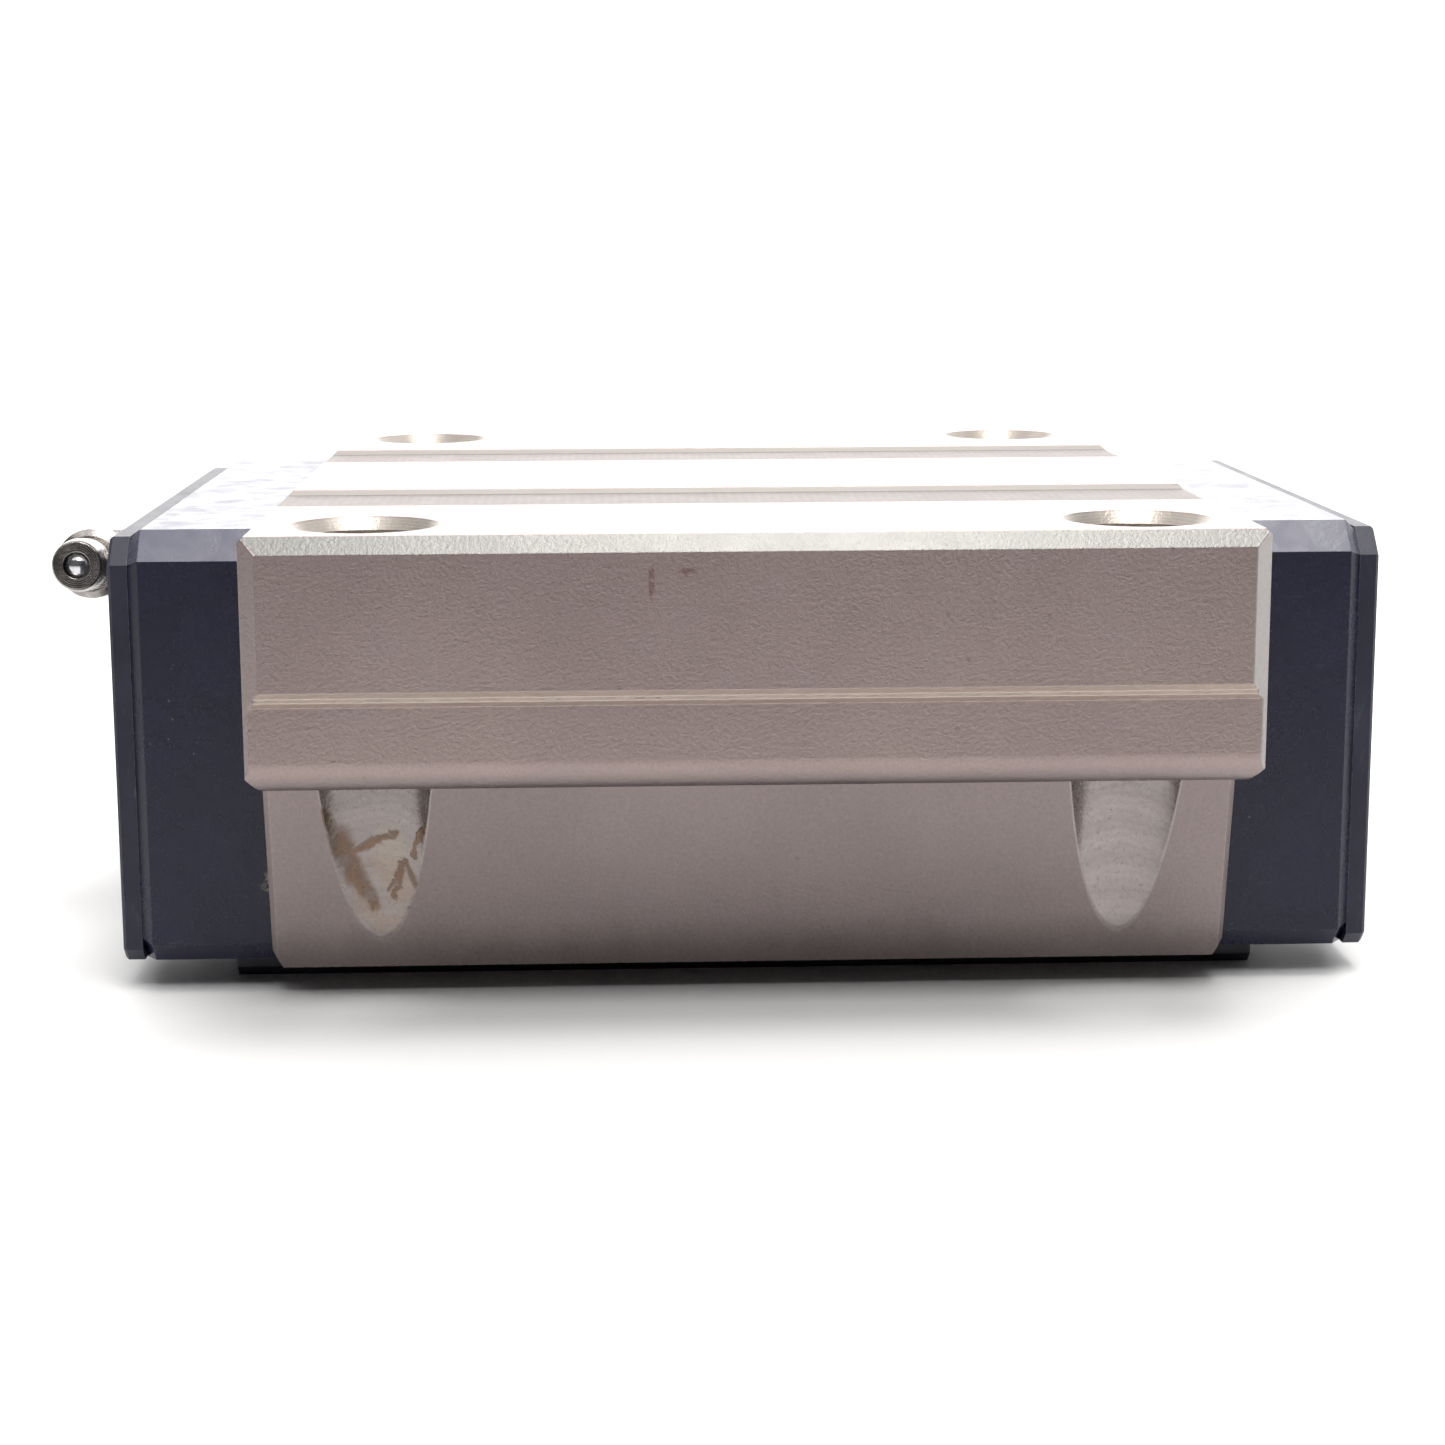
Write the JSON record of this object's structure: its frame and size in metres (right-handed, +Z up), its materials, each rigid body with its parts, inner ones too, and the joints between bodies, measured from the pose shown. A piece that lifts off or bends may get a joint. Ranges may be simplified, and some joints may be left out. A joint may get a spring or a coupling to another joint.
{
  "type": "linear guide carriage",
  "caption": "Flanged steel linear guide carriage with recirculating balls, dark moulded end caps, wiper seals and an angled grease nipple.",
  "frame": {"origin": "centre of the ground top (table) face of the steel block", "axes": "+X along the rail (travel), the grease nipple is on the -X end; +Y across the rail, the nipple's head points to -Y; +Z up, away from the rail, out of the table face"},
  "size_m": [0.1172, 0.1, 0.0405],
  "materials": {
    "block_steel": "fine ground, matte, warm grey",
    "cap_plastic": "fine moulded texture, blue-black",
    "guide_plastic": "natural moulded plastic",
    "retainer_plastic": "moulded, black",
    "seal_plate": "dark grey coated steel, satin",
    "seal_rubber": "matte black nitrile rubber",
    "carrier_plastic": "moulded, blue-black",
    "ball_steel": "polished bearing steel",
    "screw_steel": "black-zinc screws",
    "nipple_steel": "bright zinc-plated, slightly worn",
    "spring_steel": "drawn wire"
  },
  "bodies": {
    "carriage": {"carriage_block": "block_steel", "end_cap_left": "cap_plastic", "end_cap_right": "cap_plastic", "turn_guide_upper_front_left": "guide_plastic", "turn_guide_upper_front_right": "guide_plastic", "turn_guide_upper_back_left": "guide_plastic", "turn_guide_upper_back_right": "guide_plastic", "turn_guide_lower_front_left": "guide_plastic", "turn_guide_lower_front_right": "guide_plastic", "turn_guide_lower_back_left": "guide_plastic", "turn_guide_lower_back_right": "guide_plastic", "retainer_top": "retainer_plastic", "retainer_middle_front": "retainer_plastic", "retainer_middle_back": "retainer_plastic", "retainer_lower_front": "retainer_plastic", "retainer_lower_back": "retainer_plastic", "end_seal_plate_left": "seal_plate", "end_seal_plate_right": "seal_plate", "end_seal_lip_left": "seal_rubber", "end_seal_lip_right": "seal_rubber", "side_seal_carrier_front": "carrier_plastic", "side_seal_carrier_back": "carrier_plastic", "side_seal_lip_front": "seal_rubber", "side_seal_lip_back": "seal_rubber", "end_screws_left": "screw_steel", "end_screws_right": "screw_steel", "nipple_elbow": "nipple_steel", "nipple_head": "nipple_steel", "nipple_spring": "spring_steel", "grease_plug_right": "screw_steel"},
    "balls_load_upper_front": {"balls_load_upper_front": "ball_steel"},
    "balls_return_upper_front": {"balls_return_upper_front": "ball_steel"},
    "balls_turn_upper_front_left": {"balls_turn_upper_front_left": "ball_steel"},
    "balls_turn_upper_front_right": {"balls_turn_upper_front_right": "ball_steel"},
    "balls_load_upper_back": {"balls_load_upper_back": "ball_steel"},
    "balls_return_upper_back": {"balls_return_upper_back": "ball_steel"},
    "balls_turn_upper_back_left": {"balls_turn_upper_back_left": "ball_steel"},
    "balls_turn_upper_back_right": {"balls_turn_upper_back_right": "ball_steel"},
    "balls_load_lower_front": {"balls_load_lower_front": "ball_steel"},
    "balls_return_lower_front": {"balls_return_lower_front": "ball_steel"},
    "balls_turn_lower_front_left": {"balls_turn_lower_front_left": "ball_steel"},
    "balls_turn_lower_front_right": {"balls_turn_lower_front_right": "ball_steel"},
    "balls_load_lower_back": {"balls_load_lower_back": "ball_steel"},
    "balls_return_lower_back": {"balls_return_lower_back": "ball_steel"},
    "balls_turn_lower_back_left": {"balls_turn_lower_back_left": "ball_steel"},
    "balls_turn_lower_back_right": {"balls_turn_lower_back_right": "ball_steel"},
    "nipple_valve": {"nipple_check_ball": "ball_steel"}
  },
  "joints": [
    {"name": "upper_front_load_row", "type": "slide", "parent": "carriage", "child": "balls_load_upper_front", "axis": [1, 0, 0], "range_m": [-0.0033, 0.0033]},
    {"name": "upper_front_return_row", "type": "slide", "parent": "carriage", "child": "balls_return_upper_front", "axis": [1, 0, 0], "range_m": [-0.0033, 0.0033]},
    {"name": "upper_front_turn_left", "type": "hinge", "parent": "carriage", "child": "balls_turn_upper_front_left", "pos_m": [-0.0402, -0.02313, -0.0178], "axis": [0, -0.3746, -0.9272], "range_deg": [-30, 30]},
    {"name": "upper_front_turn_right", "type": "hinge", "parent": "carriage", "child": "balls_turn_upper_front_right", "pos_m": [0.0402, -0.02313, -0.0178], "axis": [0, -0.3746, -0.9272], "range_deg": [-30, 30]},
    {"name": "upper_back_load_row", "type": "slide", "parent": "carriage", "child": "balls_load_upper_back", "axis": [1, 0, 0], "range_m": [-0.0033, 0.0033]},
    {"name": "upper_back_return_row", "type": "slide", "parent": "carriage", "child": "balls_return_upper_back", "axis": [1, 0, 0], "range_m": [-0.0033, 0.0033]},
    {"name": "upper_back_turn_left", "type": "hinge", "parent": "carriage", "child": "balls_turn_upper_back_left", "pos_m": [-0.0402, 0.02313, -0.0178], "axis": [0, -0.3746, 0.9272], "range_deg": [-30, 30]},
    {"name": "upper_back_turn_right", "type": "hinge", "parent": "carriage", "child": "balls_turn_upper_back_right", "pos_m": [0.0402, 0.02313, -0.0178], "axis": [0, -0.3746, 0.9272], "range_deg": [-30, 30]},
    {"name": "lower_front_load_row", "type": "slide", "parent": "carriage", "child": "balls_load_lower_front", "axis": [1, 0, 0], "range_m": [-0.0033, 0.0033]},
    {"name": "lower_front_return_row", "type": "slide", "parent": "carriage", "child": "balls_return_lower_front", "axis": [1, 0, 0], "range_m": [-0.0033, 0.0033]},
    {"name": "lower_front_turn_left", "type": "hinge", "parent": "carriage", "child": "balls_turn_lower_front_left", "pos_m": [-0.0402, -0.02321, -0.03079], "axis": [0, 0.342, -0.9397], "range_deg": [-30, 30]},
    {"name": "lower_front_turn_right", "type": "hinge", "parent": "carriage", "child": "balls_turn_lower_front_right", "pos_m": [0.0402, -0.02321, -0.03079], "axis": [0, 0.342, -0.9397], "range_deg": [-30, 30]},
    {"name": "lower_back_load_row", "type": "slide", "parent": "carriage", "child": "balls_load_lower_back", "axis": [1, 0, 0], "range_m": [-0.0033, 0.0033]},
    {"name": "lower_back_return_row", "type": "slide", "parent": "carriage", "child": "balls_return_lower_back", "axis": [1, 0, 0], "range_m": [-0.0033, 0.0033]},
    {"name": "lower_back_turn_left", "type": "hinge", "parent": "carriage", "child": "balls_turn_lower_back_left", "pos_m": [-0.0402, 0.02321, -0.03079], "axis": [0, 0.342, 0.9397], "range_deg": [-30, 30]},
    {"name": "lower_back_turn_right", "type": "hinge", "parent": "carriage", "child": "balls_turn_lower_back_right", "pos_m": [0.0402, 0.02321, -0.03079], "axis": [0, 0.342, 0.9397], "range_deg": [-30, 30]},
    {"name": "nipple_valve_travel", "type": "slide", "parent": "carriage", "child": "nipple_valve", "axis": [0, 0.9945, -0.1045], "range_m": [0, 0.0008], "stiffness_N_per_m": 400, "springref_m": -0.0012, "deforming": ["nipple_spring"]}
  ],
  "couplings": [
    {"joint": "upper_front_return_row", "follows": "upper_front_load_row", "ratio": -1},
    {"joint": "upper_front_turn_left", "follows": "upper_front_load_row", "rad_per_m": 156.25},
    {"joint": "upper_front_turn_right", "follows": "upper_front_load_row", "rad_per_m": 156.25},
    {"joint": "upper_back_return_row", "follows": "upper_back_load_row", "ratio": -1},
    {"joint": "upper_back_turn_left", "follows": "upper_back_load_row", "rad_per_m": 156.25},
    {"joint": "upper_back_turn_right", "follows": "upper_back_load_row", "rad_per_m": 156.25},
    {"joint": "lower_front_return_row", "follows": "lower_front_load_row", "ratio": -1},
    {"joint": "lower_front_turn_left", "follows": "lower_front_load_row", "rad_per_m": 156.25},
    {"joint": "lower_front_turn_right", "follows": "lower_front_load_row", "rad_per_m": 156.25},
    {"joint": "lower_back_return_row", "follows": "lower_back_load_row", "ratio": -1},
    {"joint": "lower_back_turn_left", "follows": "lower_back_load_row", "rad_per_m": 156.25},
    {"joint": "lower_back_turn_right", "follows": "lower_back_load_row", "rad_per_m": 156.25}
  ]
}
